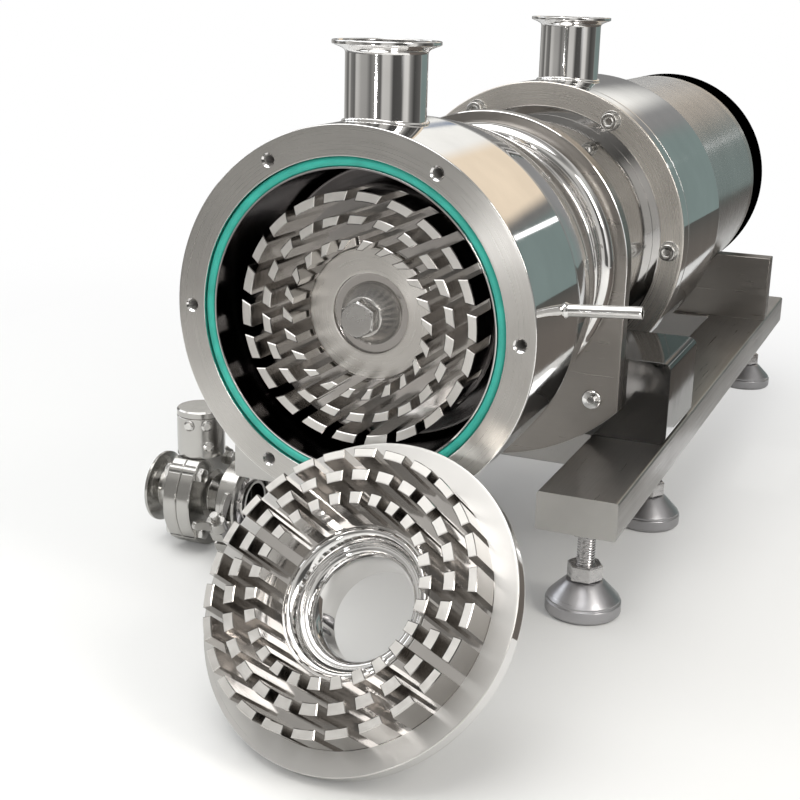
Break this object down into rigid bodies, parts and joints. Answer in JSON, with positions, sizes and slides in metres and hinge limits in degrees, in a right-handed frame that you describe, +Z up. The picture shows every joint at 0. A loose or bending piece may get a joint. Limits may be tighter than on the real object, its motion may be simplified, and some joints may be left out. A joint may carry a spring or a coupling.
{
  "type": "inline emulsifying pump",
  "caption": "Inline rotor-stator emulsifying pump on a levelled rail base, with its toothed stator and a butterfly valve taken off in front.",
  "frame": {"origin": "centre of the chamber's front face, on the shaft's axis", "axes": "+Y along the shaft from the front face to the motor, +Z up, +X to the right seen from the front"},
  "size_m": [0.2975, 0.752, 0.3048],
  "materials": {
    "polished_steel": "mirror-polished stainless steel",
    "satin_steel": "machined or brushed stainless steel",
    "seal_green": "green elastomer",
    "seal_rubber": "black elastomer",
    "seal_carbon": "lapped carbon",
    "bearing_steel": "ground",
    "motor_iron": "varnished laminations and winding",
    "fan_plastic": "moulded",
    "zinc_steel": "bright steel",
    "pad_grey": "satin"
  },
  "bodies": {
    "pump": {"chamber_casing": "polished_steel", "outlet_nozzle": "polished_steel", "drain_tube": "polished_steel", "face_seal_ring": "seal_green", "chamber_back": "polished_steel", "seal_housing": "polished_steel", "seal_seat": "seal_carbon", "bracket_plate": "satin_steel", "bracket_bolts": "polished_steel", "bearing_housing": "polished_steel", "bearing_outer_rings": "bearing_steel", "mounting_flange": "satin_steel", "flange_screws": "polished_steel", "flange_washers": "polished_steel", "rear_casing": "polished_steel", "rear_nozzle": "polished_steel", "motor_flange": "polished_steel", "motor_shell": "polished_steel", "motor_wound_core": "motor_iron", "motor_end_shield": "polished_steel", "fan_cover": "polished_steel", "pedestal_blocks": "polished_steel", "base_rails": "satin_steel", "cross_members": "satin_steel", "motor_saddle": "satin_steel", "foot_nuts": "zinc_steel"},
    "rotating_set": {"drive_shaft": "satin_steel", "rotor_key": "satin_steel", "rotor": "satin_steel", "rotor_washer": "polished_steel", "rotor_bolt": "polished_steel", "seal_ring": "seal_carbon", "seal_bellows": "seal_rubber", "bearing_inner_rings": "bearing_steel", "motor_rotor_core": "motor_iron", "cooling_fan": "fan_plastic"},
    "stator": {"stator": "satin_steel"},
    "valve": {"valve_left_half": "polished_steel", "valve_right_half": "polished_steel", "valve_seat": "seal_rubber", "valve_bolts": "polished_steel", "clamp_ring": "satin_steel", "hose_stub": "polished_steel"},
    "valve_spindle": {"valve_disc": "polished_steel", "valve_hub": "polished_steel", "hub_screws": "polished_steel", "valve_lever": "polished_steel"},
    "wing_nut": {"wing_nut": "polished_steel"},
    "foot_1": {"foot_1_stem": "zinc_steel", "foot_1_pad": "pad_grey"},
    "foot_2": {"foot_2_stem": "zinc_steel", "foot_2_pad": "pad_grey"},
    "foot_3": {"foot_3_stem": "zinc_steel", "foot_3_pad": "pad_grey"},
    "foot_4": {"foot_4_stem": "zinc_steel", "foot_4_pad": "pad_grey"},
    "foot_5": {"foot_5_stem": "zinc_steel", "foot_5_pad": "pad_grey"},
    "foot_6": {"foot_6_stem": "zinc_steel", "foot_6_pad": "pad_grey"}
  },
  "joints": [
    {"name": "rotor_spin", "type": "hinge", "parent": "pump", "child": "rotating_set", "pos_m": [0, 0.1, 0], "axis": [0, 1, 0], "continuous": true},
    {"name": "stator_take_away", "type": "slide", "parent": "pump", "child": "stator", "axis": [0, -1, 0], "range_m": [0, 0.06]},
    {"name": "valve_take_away", "type": "slide", "parent": "pump", "child": "valve", "axis": [-1, 0, 0], "range_m": [0, 0.05]},
    {"name": "valve_turn", "type": "hinge", "parent": "valve", "child": "valve_spindle", "pos_m": [-0.145, 0.108, -0.1422], "axis": [0, 0, 1], "range_deg": [0, 90]},
    {"name": "wing_nut_turn", "type": "hinge", "parent": "valve", "child": "wing_nut", "pos_m": [-0.1168, 0.08306, -0.1566], "axis": [0, -0.5, 0.866], "continuous": true},
    {"name": "foot_1_level", "type": "slide", "parent": "pump", "child": "foot_1", "axis": [0, 0, 1], "range_m": [-0.012, 0.008]},
    {"name": "foot_2_level", "type": "slide", "parent": "pump", "child": "foot_2", "axis": [0, 0, 1], "range_m": [-0.012, 0.008]},
    {"name": "foot_3_level", "type": "slide", "parent": "pump", "child": "foot_3", "axis": [0, 0, 1], "range_m": [-0.012, 0.008]},
    {"name": "foot_4_level", "type": "slide", "parent": "pump", "child": "foot_4", "axis": [0, 0, 1], "range_m": [-0.012, 0.008]},
    {"name": "foot_5_level", "type": "slide", "parent": "pump", "child": "foot_5", "axis": [0, 0, 1], "range_m": [-0.012, 0.008]},
    {"name": "foot_6_level", "type": "slide", "parent": "pump", "child": "foot_6", "axis": [0, 0, 1], "range_m": [-0.012, 0.008]}
  ]
}
